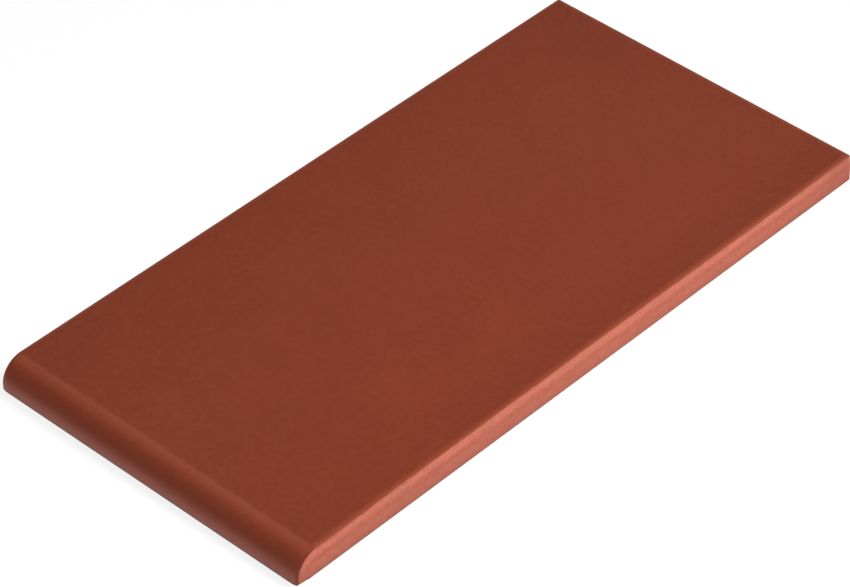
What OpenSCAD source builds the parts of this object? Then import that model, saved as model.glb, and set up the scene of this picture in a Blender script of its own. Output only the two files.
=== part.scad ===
// Window sill tile: a flat fired clay tile with a quarter-round nose on one short edge.
// It lies on its bedding face, +Z up, with the origin at the middle of that face.
// X runs from the nose (-X) to the plain back edge (+X), and Y runs along the wall.

/* [Tile] */
// Length from the front of the nose to the back edge
tile_length = 300; // [200:1:400]
// Width along the wall
tile_width = 148; // [120:1:250]
// Thickness from the bedding face to the top
tile_thickness = 12.5; // [11.5:0.5:18]
// Radius of the quarter-round nose; what is left below it is a straight foot
nose_radius = 10; // [7:0.5:10.5]

/* [Edges] */
// Height of the upright lower band of the side and back faces
lower_band_height = 7; // [6:0.25:8]
// Depth of the step at the die line, where the drafted upper band starts
die_line_step = 0.15; // [0.05:0.05:0.3]
// Lean of the upper band from upright, in degrees
draft_angle = 5.5; // [2:0.5:10]
// Radius of the arris between the upper band and the top
arris_radius = 0.6; // [0.3:0.1:1]
// Width of the soft roll that the top makes towards its arrises
roll_width = 2.8; // [1.5:0.1:4]
// Depth to which the roll falls at the arris
roll_drop = 0.35; // [0.2:0.05:0.5]
// Radius of the rounded bottom edges
foot_radius = 0.5; // [0.3:0.1:0.8]

/* [Bedding face] */
// Number of keying channels pressed into the underside
channel_count = 8; // [2:2:10]
// Width of a channel at its mouth
channel_width = 8; // [4:0.5:9]
// Depth of a channel
channel_depth = 1; // [0.5:0.1:1.5]
// Lean of a channel's walls from upright, in degrees
channel_draft = 30; // [10:5:45]
// Width of the plain rim between the outer channels and the side faces
side_rim = 14; // [10:1:18]
// Width of the plain rim at the nose and at the back edge
end_rim = 18; // [14:1:30]

/* [Hidden] */
$fn = 96;
clay_colour = "#853f2e";
// How far a cutting or bounding shape reaches past what it cuts
reach_past = 1;
// How far an arc stands proud of the line that it runs into, so that the two cross cleanly
blend_overlap = 0.002;

half_width = tile_width / 2;
nose_front = -tile_length / 2;
back_edge = tile_length / 2;
// Height of the nose's axis, which is also the height of the straight foot under the nose
nose_axis_z = tile_thickness - nose_radius;

// The roll is an arc that leaves the top level and ends at roll_drop below it
roll_radius = (roll_width * roll_width + roll_drop * roll_drop) / (2 * roll_drop);
roll_angle = asin(roll_width / roll_radius);
roll_centre_z = tile_thickness - roll_radius;
// The arris is an arc inside the roll's, tangent to it and to the drafted band
arris_centre_z = roll_centre_z + (roll_radius - arris_radius) * cos(roll_angle);
band_top_z = arris_centre_z + arris_radius * sin(draft_angle);
band_inset = die_line_step + (band_top_z - lower_band_height) * tan(draft_angle);

channel_pitch = (tile_width - 2 * side_rim - channel_width) / (channel_count - 1);
channel_length = tile_length - 2 * end_rim;

// Pie slice of a disc, from one clockwise bearing to another, both measured from +Y
module slice(radius, from, to) {
    far = 2 * radius;
    intersection() {
        circle(radius);
        polygon([[0, 0], [far * sin(from), far * cos(from)], [far * sin(to), far * cos(to)]]);
    }
}

// Section of the tile at one of its edges: the foot of the edge is at the origin, the tile
// lies towards -X as far as depth, and Y is the height. From the bottom up it has a rounded
// foot, the upright band, the die line, the drafted band, the arris and the roll.
module edge_section(depth) {
    arris_x = -band_inset - arris_radius * cos(draft_angle);
    roll_x = arris_x - (roll_radius - arris_radius) * sin(roll_angle);
    inner_roll = roll_radius - roll_width;
    polygon([
        [-depth, 0],
        [-foot_radius, 0],
        [-foot_radius, foot_radius],
        [0, foot_radius],
        [0, lower_band_height],
        [-die_line_step, lower_band_height],
        [-band_inset, band_top_z],
        [roll_x + roll_width, tile_thickness - roll_drop],
        [roll_x, tile_thickness],
        [-depth, tile_thickness]
    ]);
    translate([-foot_radius, foot_radius]) slice(foot_radius, 90, 180);
    translate([arris_x, arris_centre_z]) circle(arris_radius + 2 * blend_overlap);
    intersection() {
        translate([roll_x, roll_centre_z]) circle(roll_radius + blend_overlap);
        polygon([
            [roll_x, tile_thickness],
            [roll_x, tile_thickness - roll_width],
            [roll_x + inner_roll * sin(roll_angle), roll_centre_z + inner_roll * cos(roll_angle)],
            [roll_x + roll_radius * tan(roll_angle), tile_thickness]
        ]);
    }
}

// The whole section across the width
module cross_section() {
    translate([half_width, 0]) edge_section(half_width);
    mirror([1, 0]) translate([half_width, 0]) edge_section(half_width);
}

// A section drawn in Y and Z, pulled along X from one place over a length
module along_tile(from, length) {
    translate([from, 0, 0])
        rotate([90, 0, 90])
            linear_extrude(length) children();
}

// An outline drawn in X and Z, pulled across the width and a little past both sides
module across_tile() {
    translate([0, half_width + reach_past, 0])
        rotate([90, 0, 0])
            linear_extrude(tile_width + 2 * reach_past) children();
}

// The part of the tile that belongs to the back edge, up to mitres from the two back corners.
// It reaches further back than the straight run does.
module back_wedge() {
    reach_back = 2 * reach_past;
    spread = half_width + reach_back;
    translate([back_edge, 0, -reach_past])
        linear_extrude(tile_thickness + 2 * reach_past)
            polygon([[-half_width, 0], [reach_back, -spread], [reach_back, spread]]);
}

// The straight length behind the nose axis, mitred at the back corners
module straight_run() {
    difference() {
        translate([nose_front, 0, 0])
            along_tile(nose_radius, tile_length - nose_radius + reach_past) cross_section();
        back_wedge();
    }
}

// The back edge, with the same section as the side edges
module back_run() {
    intersection() {
        translate([back_edge, 0, 0]) across_tile() edge_section(tile_width);
        back_wedge();
    }
}

// What the nose turns: the section above the nose axis, with X as the distance from that axis
module nose_section() {
    intersection() {
        rotate(-90) translate([0, -nose_axis_z]) cross_section();
        translate([0, -tile_width]) square([2 * nose_radius, 2 * tile_width]);
    }
}

// The section turned a quarter round the nose axis, so that the arris, the roll and the
// drafted band follow the nose at a constant distance
module nose_turn() {
    translate([nose_front, 0, 0])
        translate([nose_radius, 0, nose_axis_z])
            rotate([90, 0, 0])
                rotate([0, 0, 90])
                    rotate_extrude(angle = 90) nose_section();
}

// The same section run straight down under the nose, with the bottom edges rounded
module nose_foot() {
    translate([nose_front, 0, 0])
        intersection() {
            translate([nose_radius, 0, 0])
                rotate([0, 0, 180])
                    linear_extrude(nose_axis_z) nose_section();
            along_tile(0, nose_radius) cross_section();
            across_tile() {
                translate([foot_radius, foot_radius]) slice(foot_radius, 180, 270);
                translate([foot_radius, 0]) square([nose_radius, nose_axis_z]);
                translate([0, foot_radius]) square([nose_radius, nose_axis_z - foot_radius]);
            }
        }
}

// One keying channel: a shallow pocket with leaning walls, stopped short of the ends
module channel() {
    lean = channel_depth * tan(channel_draft);
    intersection() {
        along_tile(-channel_length, 2 * channel_length)
            channel_outline(channel_width / 2, lean);
        rotate([0, 0, 90])
            along_tile(-channel_length, 2 * channel_length)
                channel_outline(channel_length / 2, lean);
    }
}

// Section of a channel, which narrows by the lean from its mouth to its floor
module channel_outline(half_mouth, lean) {
    past = lean * reach_past / channel_depth;
    polygon([
        [-half_mouth - past, -reach_past],
        [half_mouth + past, -reach_past],
        [half_mouth - lean, channel_depth],
        [lean - half_mouth, channel_depth]
    ]);
}

module keying_channels() {
    for (i = [0:channel_count - 1])
        translate([0, side_rim + channel_width / 2 - half_width + i * channel_pitch, 0])
            channel();
}

module sill_tile() {
    color(clay_colour)
        difference() {
            union() {
                straight_run();
                back_run();
                nose_foot();
                nose_turn();
            }
            keying_channels();
        }
}

sill_tile();
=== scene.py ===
"""The looks of a fired clay window sill tile: its fine mesh, its clay and a small studio.

The tile lies flat on its bedding face. X runs from the rounded nose (-X) to the back edge, and
Y along the wall. The skin is sewn from grids that follow the edge section round the tile.
"""

import math

import bmesh
import bpy
from mathutils import Matrix, Vector, noise
from mathutils.geometry import delaunay_2d_cdt


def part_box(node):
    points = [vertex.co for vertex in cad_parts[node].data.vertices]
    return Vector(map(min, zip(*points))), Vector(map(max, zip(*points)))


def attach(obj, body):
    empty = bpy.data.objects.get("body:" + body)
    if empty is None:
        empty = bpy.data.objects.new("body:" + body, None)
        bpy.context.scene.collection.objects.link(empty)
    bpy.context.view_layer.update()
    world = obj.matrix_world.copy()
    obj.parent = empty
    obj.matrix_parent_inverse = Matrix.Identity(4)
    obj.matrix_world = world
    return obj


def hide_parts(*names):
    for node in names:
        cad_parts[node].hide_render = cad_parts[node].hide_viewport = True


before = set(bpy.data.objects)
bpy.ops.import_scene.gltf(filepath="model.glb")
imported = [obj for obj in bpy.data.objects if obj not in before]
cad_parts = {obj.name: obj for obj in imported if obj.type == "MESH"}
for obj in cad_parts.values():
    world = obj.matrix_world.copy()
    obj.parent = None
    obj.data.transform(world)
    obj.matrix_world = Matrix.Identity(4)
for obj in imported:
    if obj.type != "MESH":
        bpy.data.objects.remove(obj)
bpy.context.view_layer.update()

low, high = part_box("sill_tile")

MM = 0.001

# The edge that goes round the tile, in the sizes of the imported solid
NOSE_RADIUS = 10 * MM
LOWER_BAND = 7 * MM
DIE_LINE_STEP = 0.15 * MM
DIE_LINE_LEDGE = ((0.8, 0.4), (0.3, 0.0), (0.0, -0.6))  # (inset, rise), as shares of that
DRAFT = math.radians(5.5)
ARRIS_RADIUS = 0.6 * MM
ROLL_WIDTH = 2.8 * MM
ROLL_DROP = 0.35 * MM
FOOT_RADIUS = 0.5 * MM
CORNER_RADIUS = 0.5 * MM  # of the two upright corners at the back

# The keying channels in the bedding face
CHANNELS = 8
CHANNEL_WIDTH = 8 * MM
CHANNEL_DEPTH = 1 * MM
WALL_RUN = 0.88 * MM  # from the rim of a channel to its floor, both edges softened
RIM_SOFTENING = 0.15 * MM  # how far the wall's rounding starts outside the channel
SIDE_RIM = 14 * MM
END_RIM = 18 * MM

# How finely the skin is divided
STATION = 1.5 * MM
ROLL_STEPS = 8
ARRIS_STEPS = 8
BAND_STEPS = 6
NOSE_STEPS = 28
FOOT_STEPS = 4
CORNER_STEPS = 4
WALL_STEPS = 5
FLOOR_STATION = 4 * MM
BED_STATION = 3 * MM
WELD = 0.001 * MM  # points that fall within this of each other are one
FILL_MARGIN = 1e-7  # the same for the fill of the flat rim, in metres

COAT_OVERLAP = 0.12 * MM  # how far the fired colour runs on below the arris
FOOT_COAT_END = 0.25 * MM  # height at which it ends at the foot of the nose
BARE = -12.0  # coat value of the bedding face, in mm

half_width = high.y
back = high.x
top = high.z
nose_axis_x = low.x + NOSE_RADIUS
nose_axis_z = top - NOSE_RADIUS

roll_radius = (ROLL_WIDTH**2 + ROLL_DROP**2) / (2 * ROLL_DROP)
roll_angle = math.asin(ROLL_WIDTH / roll_radius)
roll_centre = top - roll_radius
arris_centre = roll_centre + (roll_radius - ARRIS_RADIUS) * math.cos(roll_angle)
band_top = arris_centre + ARRIS_RADIUS * math.sin(DRAFT)
band_inset = DIE_LINE_STEP + (band_top - LOWER_BAND) * math.tan(DRAFT)
arris_inset = band_inset + ARRIS_RADIUS * math.cos(DRAFT)
roll_inset = arris_inset + (roll_radius - ARRIS_RADIUS) * math.sin(roll_angle)


# ---------------------------------------------------------------- outlines

def steps(count, first=0):
    """Fractions from 0 to 1 in count steps, from the first one on."""
    return [i / count for i in range(first, count + 1)]


def spaced(start, end, spacing):
    """Places from start to end, evenly and about spacing apart."""
    count = max(1, round((end - start) / spacing))
    return [start + (end - start) * f for f in steps(count)]


def edge_section():
    """(inset, height) down the edge, from the start of the roll to the level of the nose axis."""
    points = []
    for f in steps(ROLL_STEPS):
        tilt = roll_angle * f
        points.append((roll_inset - roll_radius * math.sin(tilt),
                       roll_centre + roll_radius * math.cos(tilt)))
    for f in steps(ARRIS_STEPS, 1):
        tilt = roll_angle + (math.pi / 2 - DRAFT - roll_angle) * f
        points.append((arris_inset - ARRIS_RADIUS * math.sin(tilt),
                       arris_centre + ARRIS_RADIUS * math.cos(tilt)))
    ledge = LOWER_BAND + DIE_LINE_STEP
    for f in steps(BAND_STEPS, 1):
        height = band_top + (ledge - band_top) * f
        points.append((DIE_LINE_STEP + (height - LOWER_BAND) * math.tan(DRAFT), height))
    # The die line: a ledge that leans in and has worn corners
    for inset, rise in DIE_LINE_LEDGE:
        points.append((inset * DIE_LINE_STEP, LOWER_BAND + rise * DIE_LINE_STEP))
    for height in spaced(nose_axis_z, LOWER_BAND - 2 * DIE_LINE_STEP, STATION)[::-1]:
        points.append((0.0, height))
    return points


def foot_section():
    """(inset, height) from the level of the nose axis down round the foot."""
    points = [(0.0, h) for h in spaced(FOOT_RADIUS, nose_axis_z, STATION)[::-1]]
    for f in steps(FOOT_STEPS, 1):
        turn = math.pi / 2 * f
        points.append((FOOT_RADIUS * (1 - math.cos(turn)), FOOT_RADIUS * (1 - math.sin(turn))))
    return points


def with_coat(section):
    """The section's points with how far each lies above the end of the fired colour, in mm."""
    run = [0.0]
    for (inset, height), (next_inset, next_height) in zip(section, section[1:]):
        run.append(run[-1] + math.hypot(next_inset - inset, next_height - height))
    end = roll_radius * roll_angle + ARRIS_RADIUS * (math.pi / 2 - DRAFT - roll_angle)
    end += COAT_OVERLAP
    return [(*point, (end - along) / MM) for point, along in zip(section, run)]


EDGE = with_coat(edge_section())
FOOT = foot_section()
LOWEST_COAT = EDGE[-1][2]
DIE_LINE_COAT = next(coat for _, height, coat in EDGE if height <= LOWER_BAND)
SIDE = EDGE + [(inset, height, LOWEST_COAT - (nose_axis_z - height) / MM)
               for inset, height in FOOT[1:]]


# ---------------------------------------------------------------- the skin

class Skin:
    """A mesh sewn from grids of (x, y, z, coat) points. Points at one place are one vertex."""

    def __init__(self):
        self.index = {}
        self.points = []
        self.coats = []
        self.faces = []

    def vertex(self, x, y, z, coat):
        key = (round(x / WELD), round(y / WELD), round(z / WELD))
        if key not in self.index:
            self.index[key] = len(self.points)
            self.points.append((x, y, z))
            self.coats.append(coat)
        return self.index[key]

    def grid(self, rows):
        """Faces between each two rows. Corners that fall together make a triangle or nothing."""
        ids = [[self.vertex(*point) for point in row] for row in rows]
        for upper, lower in zip(ids, ids[1:]):
            for i in range(len(upper) - 1):
                corners = (upper[i], upper[i + 1], lower[i + 1], lower[i])
                face = list(dict.fromkeys(corners))
                if len(face) > 2:
                    self.faces.append(face)


long_stations = spaced(nose_axis_x, back - roll_inset, STATION)
cross_stations = spaced(roll_inset - half_width, half_width - roll_inset, STATION)


def side_rows(side):
    """The edge section along one long side, from the nose axis round the back corner."""
    rows = []
    for inset, height, coat in SIDE:
        radius = max(CORNER_RADIUS - inset, 0.0)
        y = half_width - inset
        row = [(x, side * y, height, coat) for x in long_stations[:-1]]
        for f in steps(CORNER_STEPS):
            turn = math.pi / 2 * f
            row.append((back - inset - radius * (1 - math.sin(turn)),
                        side * (y - radius * (1 - math.cos(turn))), height, coat))
        rows.append(row)
    return rows


def back_rows():
    """The edge section along the back, between the ends of the two sides' corners."""
    rows = []
    for inset, height, coat in SIDE:
        end = half_width - inset - max(CORNER_RADIUS - inset, 0.0)
        ys = [-end, *cross_stations[1:-1], end]
        rows.append([(back - inset, y, height, coat) for y in ys])
    return rows


def nose_rows(side):
    """The edge section of one long side, turned a quarter round the nose axis."""
    rows = []
    for inset, height, coat in EDGE:
        reach = height - nose_axis_z
        rows.append([
            (nose_axis_x - reach * math.sin(turn), side * (half_width - inset),
             nose_axis_z + reach * math.cos(turn), coat)
            for turn in [math.pi / 2 * f for f in steps(NOSE_STEPS)]
        ])
    return rows


def outward(section, i):
    """Unit normal of the section at its point i, as (towards the side, away from the axis)."""
    before = section[max(i - 1, 0)]
    after = section[min(i + 1, len(section) - 1)]
    along = Vector((before[0] - after[0], before[1] - after[1])).normalized()
    return along.y, along.x


def under_nose_rows(side):
    """The end of that turn run straight down under the nose and drawn in round the foot."""
    rows = []
    for i, (inset, height, coat) in enumerate(EDGE):
        sideways, forward = outward(EDGE, i)
        if inset <= DIE_LINE_STEP:
            sideways, forward = 1.0, 0.0
        if i == 0:
            sideways, forward = 0.0, 1.0
        reach = height - nose_axis_z
        rows.append([
            (nose_axis_x - reach + draw * forward,
             side * (half_width - inset - draw * sideways), level,
             min(coat, (level - FOOT_COAT_END) / MM))
            for draw, level in FOOT
        ])
    return rows


def top_rows():
    coat = EDGE[0][2]
    return [[(x, y, top, coat) for x in long_stations] for y in cross_stations]


def nose_front_rows():
    """The quarter round of the nose and the straight foot under it, between the two edges."""
    coat = EDGE[0][2]
    rows = []
    for f in steps(NOSE_STEPS):
        turn = math.pi / 2 * f
        x = nose_axis_x - NOSE_RADIUS * math.sin(turn)
        z = nose_axis_z + NOSE_RADIUS * math.cos(turn)
        rows.append([(x, y, z, coat) for y in cross_stations])
    for draw, level in FOOT:
        here = min(coat, (level - FOOT_COAT_END) / MM)
        rows.append([(low.x + draw, y, level, here) for y in cross_stations])
    return rows


# ---------------------------------------------------------------- the bedding face

field_x = (low.x + END_RIM - 2 * RIM_SOFTENING, back - END_RIM + 2 * RIM_SOFTENING)
field_y = half_width - SIDE_RIM + 2 * RIM_SOFTENING
channel_pitch = (2 * (half_width - SIDE_RIM) - CHANNEL_WIDTH) / (CHANNELS - 1)


def wall_lines(edge, inwards):
    """Places of the grid lines across a channel's wall. inwards is +1 or -1."""
    start = edge - inwards * RIM_SOFTENING
    return [start + inwards * WALL_RUN * f for f in steps(WALL_STEPS)]


def channel_lines_y():
    lines = [-field_y, field_y]
    for i in range(CHANNELS):
        first = SIDE_RIM - half_width + i * channel_pitch
        last = first + CHANNEL_WIDTH
        lines += wall_lines(first, 1) + wall_lines(last, -1)
        lines += spaced(first + WALL_RUN, last - WALL_RUN, FLOOR_STATION)[1:-1]
        if i < CHANNELS - 1:
            lines.append(last + (channel_pitch - CHANNEL_WIDTH) / 2)
    return sorted(lines)


def channel_lines_x():
    first, last = low.x + END_RIM, back - END_RIM
    lines = [*field_x, *wall_lines(first, 1), *wall_lines(last, -1)]
    lines += spaced(first + WALL_RUN, last - WALL_RUN, FLOOR_STATION)[1:-1]
    return sorted(lines)


def climb(inside):
    """How far up a channel's wall a place is, 0 to 1, from its distance inside the channel."""
    f = min(max((inside + RIM_SOFTENING) / WALL_RUN, 0.0), 1.0)
    return f * f * (3 - 2 * f)


def bed_height(x, y):
    """Height of the bedding face: the channels' floors lie higher than the face round them."""
    along = climb(min(x - low.x, back - x) - END_RIM)
    slot = (y + half_width - SIDE_RIM) % channel_pitch
    if slot > CHANNEL_WIDTH + RIM_SOFTENING:
        slot -= channel_pitch
    return CHANNEL_DEPTH * along * climb(min(slot, CHANNEL_WIDTH - slot))


def bed_rows():
    """The rectangle of the bedding face that holds the channels."""
    xs = channel_lines_x()
    return [[(x, y, bed_height(x, y), BARE) for x in xs] for y in channel_lines_y()]


def close_bed(bm):
    """Fills the flat rim between the foot of the edges and the rectangle of the channels."""
    border = [e for e in bm.edges if e.is_boundary]
    corners = list({v for e in border for v in e.verts})
    corners.sort(key=lambda v: v.index)
    place = {v: i for i, v in enumerate(corners)}
    inner = roll_inset + BED_STATION
    fill = [
        (x, y)
        for x in spaced(low.x + inner, back - inner, BED_STATION)
        for y in spaced(inner - half_width, half_width - inner, BED_STATION)
        if abs(y) > field_y + BED_STATION / 2
        or not field_x[0] - BED_STATION / 2 < x < field_x[1] + BED_STATION / 2
    ]
    flat = [v.co.xy for v in corners] + [Vector(p) for p in fill]
    edges = [(place[e.verts[0]], place[e.verts[1]]) for e in border]
    inside = 1
    places, _, faces, sources, _, _ = delaunay_2d_cdt(flat, edges, [], inside, FILL_MARGIN)
    verts = []
    for at, source in zip(places, sources):
        known = [i for i in source if i < len(corners)]
        verts.append(corners[known[0]] if known else bm.verts.new((at.x, at.y, low.z)))
    for face in faces:
        middle = sum((places[i] for i in face), Vector((0, 0))) / len(face)
        if abs(middle.y) > field_y or not field_x[0] < middle.x < field_x[1]:
            bm.faces.new([verts[i] for i in face])


# ---------------------------------------------------------------- the tile

WAVE = ((35 * MM, 0.020 * MM), (7 * MM, 0.010 * MM))  # wavelength and depth of the unevenness
CALM_BELOW = 1.5 * MM  # the unevenness fades out below this height, so the tile lies flat
CREASE = math.radians(50)  # edges sharper than this stay sharp in the shading


def uneven(mesh):
    """Sinks the skin a little, by amounts that wander along it, as pressed and fired clay does."""
    normals = [v.normal.copy() for v in mesh.vertices]
    for vertex, normal in zip(mesh.vertices, normals):
        depth = sum(
            amount * (0.5 + 0.5 * noise.noise(vertex.co / length))
            for length, amount in WAVE
        )
        calm = min(max((vertex.co.z - low.z) / CALM_BELOW, 0.0), 1.0)
        vertex.co -= normal * max(depth, 0.0) * calm * calm


def sew_skin():
    """The whole skin of the tile but for the flat rim of its bedding face."""
    skin = Skin()
    skin.grid(top_rows())
    skin.grid(nose_front_rows())
    skin.grid(back_rows())
    for side in (-1, 1):
        skin.grid(side_rows(side))
        skin.grid(nose_rows(side))
        skin.grid(under_nose_rows(side))
    skin.grid(bed_rows())
    return skin


def close_skin(mesh):
    """Fills that rim, turns all faces outwards and shades them smooth."""
    bm = bmesh.new()
    bm.from_mesh(mesh)
    bm.verts.ensure_lookup_table()
    bm.verts.index_update()
    old = len(bm.verts)
    close_bed(bm)
    layer = bm.verts.layers.float["coat"]
    for v in list(bm.verts)[old:]:
        v[layer] = BARE
    bmesh.ops.recalc_face_normals(bm, faces=bm.faces)
    for face in bm.faces:
        face.smooth = True
    bm.to_mesh(mesh)
    bm.free()
    mesh.update()


def make_tile():
    skin = sew_skin()
    mesh = bpy.data.meshes.new("clay_tile")
    mesh.from_pydata(skin.points, [], skin.faces)
    coat = mesh.attributes.new("coat", "FLOAT", "POINT")
    coat.data.foreach_set("value", skin.coats)
    close_skin(mesh)
    uneven(mesh)
    mesh.update()
    mesh.set_sharp_from_angle(angle=CREASE)
    tile = bpy.data.objects.new("clay_tile", mesh)
    bpy.context.scene.collection.objects.link(tile)
    return tile


# ---------------------------------------------------------------- materials

COLOUR_MIX_INPUTS = (0, 6, 7)  # places of a colour Mix node's share and its two colours
COLOUR_MIX_OUTPUT = 2


class Graph:
    """Short calls for building a node tree."""

    def __init__(self, tree):
        self.tree = tree

    def node(self, kind, inputs=None, **settings):
        made = self.tree.nodes.new("ShaderNode" + kind)
        for name, value in settings.items():
            setattr(made, name, value)
        for name, value in (inputs or {}).items():
            if isinstance(value, bpy.types.NodeSocket):
                self.tree.links.new(value, made.inputs[name])
            else:
                made.inputs[name].default_value = value
        return made

    def noise(self, place, size, detail=2.0, roughness=0.5):
        """Noise from 0 to 1 about 0.5, with blotches about size across, in metres."""
        made = self.node("TexNoise", {"Vector": place, "Scale": 1 / size, "Detail": detail,
                                      "Roughness": roughness})
        return made.outputs["Fac"]

    def ramp(self, value, start, end, low_value=0.0, high_value=1.0, smooth=True):
        """value mapped from start..end to low_value..high_value and held there."""
        kind = "SMOOTHSTEP" if smooth else "LINEAR"
        made = self.node("MapRange", {"Value": value, "From Min": start, "From Max": end,
                                      "To Min": low_value, "To Max": high_value},
                         interpolation_type=kind)
        return made.outputs["Result"]

    def maths(self, operation, first, second):
        made = self.node("Math", operation=operation)
        for socket, value in zip(made.inputs, (first, second)):
            if isinstance(value, bpy.types.NodeSocket):
                self.tree.links.new(value, socket)
            else:
                socket.default_value = value
        return made.outputs[0]

    def plus(self, first, second):
        return self.maths("ADD", first, second)

    def minus(self, first, second):
        return self.maths("SUBTRACT", first, second)

    def times(self, first, second):
        return self.maths("MULTIPLY", first, second)

    def most(self, first, second):
        return self.maths("MAXIMUM", first, second)

    def least(self, first, second):
        return self.maths("MINIMUM", first, second)

    def absolute(self, value):
        return self.maths("ABSOLUTE", value, 0.0)

    def choose(self, share, first, second):
        """Number first, with share of second blended in."""
        made = self.node("Mix", {"Factor": share, "A": first, "B": second}, data_type="FLOAT")
        return made.outputs["Result"]

    def mix(self, share, first, second):
        """Colour first, with share of second blended in."""
        made = self.node("Mix", data_type="RGBA", blend_type="MIX")
        for index, value in zip(COLOUR_MIX_INPUTS, (share, first, second)):
            if isinstance(value, bpy.types.NodeSocket):
                self.tree.links.new(value, made.inputs[index])
            elif isinstance(value, tuple):
                made.inputs[index].default_value = (*value, 1.0)
            else:
                made.inputs[index].default_value = value
        return made.outputs[COLOUR_MIX_OUTPUT]


class ClayGraph(Graph):
    """The clay's node tree, with where on the tile a point lies.

    along, across and level are the parts of its place. coat is the mesh's own measure of how
    far it lies above the end of the fired colour, in mm, and above_line the same from the die
    line. from_nose, from_back and from_near are distances from those edges of the tile.
    """

    def __init__(self, tree):
        super().__init__(tree)
        self.place = self.node("TexCoord").outputs["Object"]
        parts = self.node("SeparateXYZ", {"Vector": self.place}).outputs
        self.along, self.across, self.level = parts
        self.coat = self.node("Attribute", attribute_name="coat").outputs["Fac"]
        self.from_nose = self.minus(self.along, low.x)
        self.from_back = self.minus(back, self.along)
        self.from_near = self.plus(self.across, half_width)
        self.above_line = self.minus(self.coat, DIE_LINE_COAT)


# In what follows a pair is the two ends of a ramp, or its values at them. Distances are in
# metres, unless they say that they are in mm of coat. A pattern is the size of its blotches,
# its detail and, where that isn't the usual one, its roughness. Its range is the two values
# of the noise between which it builds up.

# Where the fired colour ends, on the arris. Its wander, blur and shifts are in mm of coat
END_WANDER = 0.30
WANDER_PATTERN = (1.4 * MM, 3.0)
END_BLUR = (-0.22, 0.26)
LOWER_BY_NOSE = 0.48
BY_NOSE = (24 * MM, 52 * MM)
LOWER_ON_TURN = 0.14  # added to that on the nose's turn
ON_TURN = (1.5 * MM, 5 * MM)
LOWER_MIDWAY = -0.3  # so it lies higher there
LOWER_TO_BACK = 0.25
TO_BACK = (150 * MM, 255 * MM)


def above_end(g):
    """How far a point lies above the end of the fired colour once that wanders, in mm. It lies
    lower by the nose and towards the back."""
    wander = g.ramp(g.noise(g.place, *WANDER_PATTERN), 0.0, 1.0, -END_WANDER, END_WANDER,
                    smooth=False)
    lower = g.plus(g.ramp(g.from_nose, *BY_NOSE, LOWER_BY_NOSE, 0.0),
                   g.ramp(g.from_nose, *TO_BACK, LOWER_MIDWAY, LOWER_TO_BACK))
    lower = g.plus(lower, g.ramp(g.from_nose, *ON_TURN, LOWER_ON_TURN, 0.0))
    return g.plus(g.coat, g.plus(wander, lower))


# Linear colours of the fired face, and its patterns with their shares
FIRED = (0.2021, 0.0327, 0.0116)
FIRED_DARK = (0.1674, 0.0262, 0.0088)
FIRED_BLOOM = (0.332, 0.0870, 0.0530)
CLOUD = (22 * MM, 5.0, 0.62)
CLOUD_RANGE = (0.25, 0.75)
CLOUD_SHARE = 0.5
BLOOM = (2.2 * MM, 2.0, 0.95)
BLOOM_RANGE = (0.35, 0.65)
BLOOM_SHARE = 0.15
DARK_SIDE = (6 * MM, 25 * MM)  # from the near side
DARK_SIDE_SHARE = (0.25, 0.80)  # at the nose and at the back
NOSE_SHADE_SHARE = 0.4  # painted shade, where the light falls off, in the far corner of the nose


def fired_face(g):
    """The fired face: broad clouding and a faint fine bloom, darker along the near side, and with
    painted shade, where the light falls off, in the far corner of the nose."""
    cloud = g.ramp(g.noise(g.place, *CLOUD), *CLOUD_RANGE)
    face = g.mix(g.times(cloud, CLOUD_SHARE), FIRED, FIRED_DARK)
    near_side = g.times(g.ramp(g.from_near, *DARK_SIDE, 1.0, 0.0),
                        g.ramp(g.along, low.x, back, *DARK_SIDE_SHARE))
    # painted shade: the far corner of the nose darker, where the light falls off
    far_nose_shade = g.times(g.ramp(g.across, 0.0, half_width),
                       g.ramp(g.along, low.x, back, NOSE_SHADE_SHARE, 0.0, smooth=False))
    face = g.mix(g.most(near_side, far_nose_shade), face, FIRED_DARK)
    bloom = g.ramp(g.noise(g.place, *BLOOM), *BLOOM_RANGE, 0.0, BLOOM_SHARE, smooth=False)
    return g.mix(bloom, face, FIRED_BLOOM)


# Linear colours painted on the fired face as light and shade: paler for a painted highlight over
# the nose's shoulder and painted light by the arrises, darker for painted shade in front of that
# shoulder and by the arris on the nose's turn; and where that is
# painted highlight and painted light on the fired face
FIRED_LIT = (0.294, 0.0675, 0.0345)
# painted shade on the fired face
FIRED_SHADE = (0.168, 0.0300, 0.0125)
LIT_BY_ARRIS = (0.2, 2.6)  # in mm of coat
LIT_ARRIS_SHARE = 0.85
SHADED_TURN = 4.5 * MM  # from the nose: up to here the arris has painted shade instead of painted light
# where the painted highlight over the nose's shoulder rises and falls, and how much
SHOULDER_RISE = (0.0, 0.2)  # as shares of the way forward over the nose
SHOULDER_FALL = (0.3, 0.65)
SHOULDER_HIGHLIGHT_SHARE = 0.45
# where the painted shade on the nose's front rises and falls, and how much
FRONT_RISE = (3.4 * MM, 6.5 * MM)
FRONT_FALL = (8 * MM, 11.5 * MM)
FRONT_SHADE_SHARE = 0.8
SHADE_BY_ARRIS = (0.3, 1.8)  # in mm of coat


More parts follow.
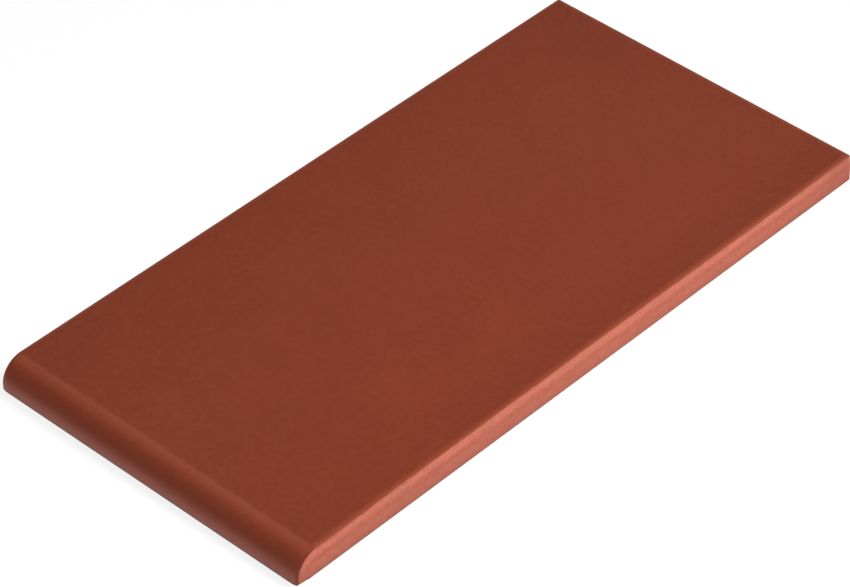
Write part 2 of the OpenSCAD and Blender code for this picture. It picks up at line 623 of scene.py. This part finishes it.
def face_light_and_shade(g, face):
    """The face with a painted highlight over the shoulder of the nose and painted light by the
    arrises, and painted shade in front of that shoulder and by the arris on the nose's turn."""
    forward = g.ramp(g.from_nose, NOSE_RADIUS, 0.0, 0.0, 1.0, smooth=False)
    # painted highlight over the nose's shoulder
    shoulder = g.times(g.ramp(forward, *SHOULDER_RISE, 0.0, SHOULDER_HIGHLIGHT_SHARE),
                       g.ramp(forward, *SHOULDER_FALL, 1.0, 0.0))
    straight = g.ramp(g.from_nose, SHADED_TURN, NOSE_RADIUS)
    # painted light: paler by the arrises, away from the nose's turn
    by_arris = g.ramp(g.coat, *LIT_BY_ARRIS, LIT_ARRIS_SHARE, 0.0, smooth=False)
    lit = g.most(g.times(by_arris, straight), shoulder)
    # painted shade on the nose's front
    front = g.times(g.ramp(g.level, *FRONT_RISE, 0.0, FRONT_SHADE_SHARE),
                    g.ramp(g.level, *FRONT_FALL, 1.0, 0.0))
    # painted shade by the arris on the nose's turn
    nose_rim = g.ramp(g.coat, *SHADE_BY_ARRIS, g.minus(1.0, straight), 0.0)
    face = g.mix(lit, face, FIRED_LIT)
    return g.mix(g.most(front, nose_rim), face, FIRED_SHADE)


# Linear colours of the raw body, its patterns with their shares, and where they are
BODY = (0.566, 0.1375, 0.0745)
# painted light: the drafted band above the die line, lighter where it faces up
BODY_LIT = (0.684, 0.1860, 0.1100)
BODY_GRAIN = (0.270, 0.0700, 0.0440)
BODY_DARKER = (0.385, 0.0980, 0.0600)  # darker by the near back corner, and painted shade on the die line and low on the body
STAINED = (0.450, 0.1050, 0.0470)
DUST = (0.500, 0.2000, 0.1700)
LIT_ABOVE_LINE = (0.8, 2.4)  # above the die line, in mm of coat
LIT_RISE = (4 * MM, 9 * MM)
FINE_GRAIN = (1.2 * MM, 5.0, 0.65)
FINE_GRAIN_SHARE = 0.34
COARSE_GRAIN = (3.2 * MM, 2.0)
COARSE_GRAIN_SHARE = 0.12
STREAKS = (0.9 * MM, 3.0)
STREAKS_SHARE = 0.25
STREAK_STRETCH = (0.08, 0.08, 1.0)  # makes long streaks of round blotches
PATCHES = (12 * MM, 3.0)
PATCHES_SHARE = 0.06
GRAIN_RANGE = (0.3, 0.7)  # of these four
DUST_SPOTS = (1.8 * MM, 3.0)
DUST_RANGE = (0.35, 0.65)
DUST_SHARE = 0.28
CORNER_FROM_BACK = (0.0, 26 * MM)
CORNER_FROM_NEAR = (5 * MM, 40 * MM)
CORNER_SHARE = 0.6
STAIN = (-0.7, -0.1)  # below the end of the fired colour, in mm
STAIN_SHARE = 0.6
STAIN_FROM_NOSE = (8 * MM, 14 * MM)
STAIN_ON_NOSE = 0.2  # how much of the stain there is round the nose


def raw_body(g, above):
    """The raw body: paler above the die line, as painted light on the drafted band that faces
    up, with grain, faint streaks along the pressing, patches and a little dust, darker by the
    near back corner, and stained just below the fired face."""
    # painted light: paler above the die line, where the drafted band faces up
    upper = g.times(g.ramp(g.above_line, *LIT_ABOVE_LINE), g.ramp(g.level, *LIT_RISE))
    body = g.mix(upper, BODY, BODY_LIT)
    stretched = g.node("Mapping", {"Vector": g.place, "Scale": STREAK_STRETCH}).outputs["Vector"]
    for place, pattern, share in (
        (g.place, FINE_GRAIN, FINE_GRAIN_SHARE),
        (g.place, COARSE_GRAIN, COARSE_GRAIN_SHARE),
        (stretched, STREAKS, STREAKS_SHARE),
        (g.place, PATCHES, PATCHES_SHARE),
    ):
        spots = g.noise(place, *pattern)
        body = g.mix(g.ramp(spots, *GRAIN_RANGE, 0.0, share), body, BODY_GRAIN)
    dust = g.ramp(g.noise(g.place, *DUST_SPOTS), *DUST_RANGE, 0.0, DUST_SHARE)
    body = g.mix(dust, body, DUST)
    corner = g.times(g.ramp(g.from_back, *CORNER_FROM_BACK, CORNER_SHARE, 0.0, smooth=False),
                     g.ramp(g.from_near, *CORNER_FROM_NEAR, 1.0, 0.0))
    body = g.mix(corner, body, BODY_DARKER)
    stain = g.times(g.ramp(above, *STAIN, 0.0, STAIN_SHARE),
                    g.ramp(g.from_nose, *STAIN_FROM_NOSE, STAIN_ON_NOSE, 1.0))
    return g.mix(stain, body, STAINED)


# Painted shade on the die line and low on the body, and the darker foot
LINE_BLUR = (0.1, 0.9)  # either side of the line, in mm of coat
LINE_SHARE = 0.7
LINE_RISE = (3.5 * MM, 6.5 * MM)
LINE_PATCHES = (9 * MM, 3.0)
LINE_PATCH_RANGE = (0.3, 0.65)
LINE_PATCHINESS = (0.5, 1.0)  # how much of the line there is between its patches and in them
# painted shade: the body darker towards the floor, up to this height, and how much
FOOT_TOP = 4.5 * MM
FOOT_SHARE = 0.8
FOOT_DARK = (0.100, 0.1000, 0.0900)
FOOT_DARK_BAND = (0.4 * MM, 1.7 * MM)
FOOT_DARK_SHARE = 0.45
FOOT_RIM = (1 * MM, 8 * MM)  # in from the outline
FOOT_INSIDE = 0.25  # how much of the foot's colour there is over the rest of the bedding face


def die_line_shade(g):
    """Share of the painted shade along the die line's step, patchy and fading as it turns down
    round the nose.
    """
    off_line = g.absolute(g.above_line)
    line = g.times(g.ramp(off_line, *LINE_BLUR, LINE_SHARE, 0.0), g.ramp(g.level, *LINE_RISE))
    patchy = g.ramp(g.noise(g.place, *LINE_PATCHES), *LINE_PATCH_RANGE, *LINE_PATCHINESS)
    return g.times(line, patchy)


def by_outline(g):
    """1 by the tile's outline, and less further in over the bedding face."""
    from_sides = g.minus(half_width, g.absolute(g.across))
    from_ends = g.minus(back, g.absolute(g.along))
    return g.ramp(g.least(from_sides, from_ends), *FOOT_RIM, 1.0, FOOT_INSIDE)


# Roughness and relief
BODY_ROUGHNESS = 0.78
FACE_ROUGHNESS = (0.31, 0.38)
FACE_MOTTLE = (2.4 * MM, 4.0)
FACE_MOTTLE_RANGE = (0.25, 0.75)
ROUGHER_BY_ARRIS = (0.2, 1.6)  # in mm of coat
ARRIS_ROUGHNESS = 0.35  # added there
CLAY_IOR = 1.45
BUMP_DISTANCE = 0.03 * MM
TOOTH = (0.35 * MM, 3.0)
TOOTH_HEIGHT = 0.06  # up and down; all three heights are shares of the bump's distance
RIPPLE = (3.5 * MM, 2.0)
RIPPLE_HEIGHT = 0.15
OPEN_GRAIN = (0.6 * MM, 5.0, 0.7)
OPEN_GRAIN_HEIGHT = 0.8


def roughness(g, is_face):
    """A satin face, rougher by the arrises, and a matt body."""
    face = g.ramp(g.noise(g.place, *FACE_MOTTLE), *FACE_MOTTLE_RANGE, *FACE_ROUGHNESS,
                  smooth=False)
    face = g.plus(face, g.ramp(g.coat, *ROUGHER_BY_ARRIS, ARRIS_ROUGHNESS, 0.0))
    return g.choose(is_face, BODY_ROUGHNESS, face)


def bumps(g, pattern, height):
    """A pattern as heights from -height to height."""
    return g.ramp(g.noise(g.place, *pattern), 0.0, 1.0, -height, height, smooth=False)


def relief(g, is_face):
    """Normals of a faint tooth and ripple on the face, and of an open grain on the body."""
    tooth = bumps(g, TOOTH, TOOTH_HEIGHT)
    ripple = bumps(g, RIPPLE, RIPPLE_HEIGHT)
    grain = bumps(g, OPEN_GRAIN, OPEN_GRAIN_HEIGHT)
    height = g.choose(is_face, grain, g.plus(tooth, ripple))
    bump = g.node("Bump", {"Height": height, "Strength": 1.0, "Distance": BUMP_DISTANCE})
    return bump.outputs["Normal"]


def clay_material():
    """One clay: a smooth red-brown fired face, and the raw, paler body below the arris."""
    material = bpy.data.materials.new("fired_clay")
    material.use_nodes = True
    material.node_tree.nodes.clear()
    g = ClayGraph(material.node_tree)

    above = above_end(g)
    is_face = g.ramp(above, *END_BLUR)
    rim = by_outline(g)
    # painted shade along the die line
    body = g.mix(die_line_shade(g), raw_body(g, above), BODY_DARKER)
    # painted shade: the body darker towards the floor
    body = g.mix(g.times(rim, g.ramp(g.level, 0.0, FOOT_TOP, FOOT_SHARE, 0.0)), body, BODY_DARKER)
    colour = g.mix(is_face, body, face_light_and_shade(g, fired_face(g)))
    colour = g.mix(g.times(rim, g.ramp(g.level, *FOOT_DARK_BAND, FOOT_DARK_SHARE, 0.0)), colour, FOOT_DARK)

    surface = g.node("BsdfPrincipled", {"Base Color": colour, "Roughness": roughness(g, is_face),
                                        "IOR": CLAY_IOR, "Normal": relief(g, is_face)})
    g.node("OutputMaterial", {"Surface": surface.outputs["BSDF"]})
    return material


# ---------------------------------------------------------------- studio

FLOOR_REACH = 6.0
FLOOR_SIDES = 96
FLAT_SHARE = 0.8  # of its reach; beyond that it turns up
INNER_SHARE = 0.3  # of its reach, in rings
INNER_RINGS = 3
TURN_UP_STEPS = 8
BACKDROP_RISE = 0.45
FLOOR_WHITE = 0.80  # what the floor reflects
NEAR_GLOW = 0.84  # its own white, which only the camera sees, where the shadow falls on it
NEAR_GREY = 0.17  # how much of the light and shadow there it adds to that
FAR_GLOW = 1.0  # and its white where that is all the camera sees
GLOW_BLEND = (0.35, 1.3)  # distances between which the one turns into the other
FLOOR_SHEEN = 0.75  # a painted glow that only reflections see, beside the tile
FAR_SHEEN = 0.10  # and further off
SHEEN_HALVING = 10 * MM
FLOOR_GAP = 0.02 * MM  # keeps the floor from lying in the plane of the bedding face
WHITE = (1, 1, 1, 1)
AMBIENT = 0.15


def beside_tile(g, x, y):
    """How far a point of the floor lies from the tile's outline, by the longer way."""
    beyond_x = g.minus(g.absolute(x), back)
    beyond_y = g.minus(g.absolute(y), half_width)
    return g.most(g.most(beyond_x, beyond_y), 0.0)


def floor_material():
    """Pale matt floor. The camera and reflections see it lifted to white, with its shadow, and
    reflections also see a painted glow on it, brightest beside the tile.
    """
    material = bpy.data.materials.new("studio_floor")
    material.use_nodes = True
    material.node_tree.nodes.clear()
    g = Graph(material.node_tree)
    matt = g.node("BsdfDiffuse", {"Color": (FLOOR_WHITE, FLOOR_WHITE, FLOOR_WHITE, 1)})
    place = g.node("TexCoord").outputs["Object"]
    x, y, _ = g.node("SeparateXYZ", {"Vector": place}).outputs
    away = g.node("VectorMath", {0: place}, operation="LENGTH")
    far = g.ramp(away.outputs["Value"], *GLOW_BLEND)
    grey = g.ramp(far, 0.0, 1.0, NEAR_GREY, 0.0, smooth=False)
    grey = g.node("CombineColor", {0: grey, 1: grey, 2: grey})
    seen = g.node("BsdfDiffuse", {"Color": grey.outputs[0]})
    path = g.node("LightPath").outputs
    mirrored = g.most(path["Is Glossy Ray"], path["Is Transmission Ray"])
    # painted light: a glow beside the tile, fading away from it, that only reflections see
    halvings = g.maths("DIVIDE", beside_tile(g, x, y), SHEEN_HALVING)
    fade = g.maths("POWER", 0.5, halvings)
    sheen = g.ramp(fade, 0.0, 1.0, FAR_SHEEN, FLOOR_SHEEN, smooth=False)
    plain = g.ramp(far, 0.0, 1.0, NEAR_GLOW, FAR_GLOW, smooth=False)
    strength = g.ramp(mirrored, 0.0, 1.0, plain, sheen, smooth=False)
    glow = g.node("Emission", {"Color": WHITE, "Strength": strength})
    lifted = g.node("AddShader", {0: seen.outputs[0], 1: glow.outputs[0]})
    rays = g.most(path["Is Camera Ray"], mirrored)
    chosen = g.node("MixShader", {0: rays, 1: matt.outputs[0], 2: lifted.outputs[0]})
    g.node("OutputMaterial", {"Surface": chosen.outputs[0]})
    return material


def floor_rings():
    """(radius, rise) of the floor's rings, from the middle out."""
    rings = [(INNER_SHARE * FLOOR_REACH * f, 0.0) for f in steps(INNER_RINGS, 1)]
    rings.append((FLAT_SHARE * FLOOR_REACH, 0.0))
    for f in steps(TURN_UP_STEPS, 1):
        turn = math.pi / 2 * f
        rings.append((FLOOR_REACH * (FLAT_SHARE + (1 - FLAT_SHARE) * math.sin(turn)),
                      BACKDROP_RISE * (1 - math.cos(turn))))
    return rings


def make_floor():
    """A wide round floor that turns up into a low backdrop all round."""
    rings = floor_rings()
    points = [(0.0, 0.0, low.z)]
    faces = []
    for radius, rise in rings:
        for i in range(FLOOR_SIDES):
            turn = 2 * math.pi * i / FLOOR_SIDES
            points.append((radius * math.cos(turn), radius * math.sin(turn), low.z + rise))
    for i in range(FLOOR_SIDES):
        after = (i + 1) % FLOOR_SIDES
        faces.append((0, 1 + i, 1 + after))
        for ring in range(len(rings) - 1):
            inner = 1 + ring * FLOOR_SIDES
            outer = inner + FLOOR_SIDES
            faces.append((inner + i, outer + i, outer + after, inner + after))
    mesh = bpy.data.meshes.new("studio_floor")
    mesh.from_pydata(points, [], faces)
    for face in mesh.polygons:
        face.use_smooth = True
    mesh.materials.append(floor_material())
    floor = bpy.data.objects.new("studio_floor", mesh)
    floor.location.z = -FLOOR_GAP
    bpy.context.scene.collection.objects.link(floor)
    return floor


def softbox(name, direction, distance, size, level, aim=(0, 0, 0), spread=180, mirrored=False):
    """A square lamp. level sets what it adds on a surface at the tile that faces it."""
    lamp = bpy.data.lights.new(name, "AREA")
    lamp.shape = "SQUARE"
    lamp.size = size
    lamp.spread = math.radians(spread)
    lamp.energy = level * math.pi**2 * distance**2
    place = Vector(direction).normalized() * distance
    box = bpy.data.objects.new(name, lamp)
    box.matrix_world = (Matrix.Translation(place)
                        @ (place - Vector(aim)).to_track_quat("Z", "Y").to_matrix().to_4x4())
    box.visible_camera = False
    box.visible_glossy = mirrored
    bpy.context.scene.collection.objects.link(box)


def light_studio():
    """A key lamp from the near back, fills for the nose and the sides, faint pools of light on
    the face and on the near side, and two lamps that show as sheen on the satin face."""
    softbox("key", (0.41, -0.53, 0.76), distance=2.5, size=0.9, level=0.43,
            aim=(-0.6, -0.8, 0.0), spread=90)
    softbox("nose_fill", (-0.99, -0.10, 0.08), distance=1.5, size=0.24, level=0.42)
    softbox("pool", (0.10, -0.09, 1.00), distance=0.5, size=0.06, level=0.007,
            aim=(0.05, -0.045, 0.0), spread=50)
    softbox("nose_pool", (-0.18, -0.12, 1.0), distance=0.5, size=0.06, level=0.0015,
            aim=(-0.09, -0.06, 0.0), spread=36)
    softbox("side_fill", (0.30, -0.93, 0.20), distance=0.9, size=0.15, level=0.0015,
            aim=(0.06, -0.074, 0.006), spread=20)
    softbox("back_fill", (0.10, 0.95, 0.30), distance=1.5, size=0.5, level=0.25)
    softbox("sheen", (0.16, 0.52, 0.84), distance=1.5, size=0.42, level=0.016, mirrored=True)
    softbox("back_sheen", (0.72, 0.40, 0.57), distance=1.5, size=0.52, level=0.004, mirrored=True)
    world = bpy.data.worlds.new("studio")
    world.use_nodes = True
    background = world.node_tree.nodes["Background"]
    background.inputs["Color"].default_value = WHITE
    background.inputs["Strength"].default_value = AMBIENT
    bpy.context.scene.world = world


# The camera: where it looks from and at, and its lens in mm
AZIMUTH = math.radians(-46.966)
ELEVATION = math.radians(40.444)
ROLL = math.radians(-0.111)
DISTANCE = 1.4204
AIM = Vector((-0.01396, -0.00610, 0.00625))
LENS = 165.03
NEAREST_SEEN = 0.05
FARTHEST_SEEN = 50.0


def make_camera():
    away = Vector((math.sin(AZIMUTH) * math.cos(ELEVATION),
                   -math.cos(AZIMUTH) * math.cos(ELEVATION), math.sin(ELEVATION)))
    data = bpy.data.cameras.new("camera")
    data.lens = LENS
    data.clip_start = NEAREST_SEEN
    data.clip_end = FARTHEST_SEEN
    camera = bpy.data.objects.new("camera", data)
    camera.matrix_world = (Matrix.Translation(AIM + away * DISTANCE)
                           @ away.to_track_quat("Z", "Y").to_matrix().to_4x4()
                           @ Matrix.Rotation(ROLL, 4, "Z"))
    bpy.context.scene.collection.objects.link(camera)
    bpy.context.scene.camera = camera


# ---------------------------------------------------------------- the scene

tile = make_tile()
tile.data.materials.append(clay_material())
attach(tile, "root")
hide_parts("sill_tile")

make_floor()
light_studio()
make_camera()
bpy.context.scene.view_settings.view_transform = "Standard"
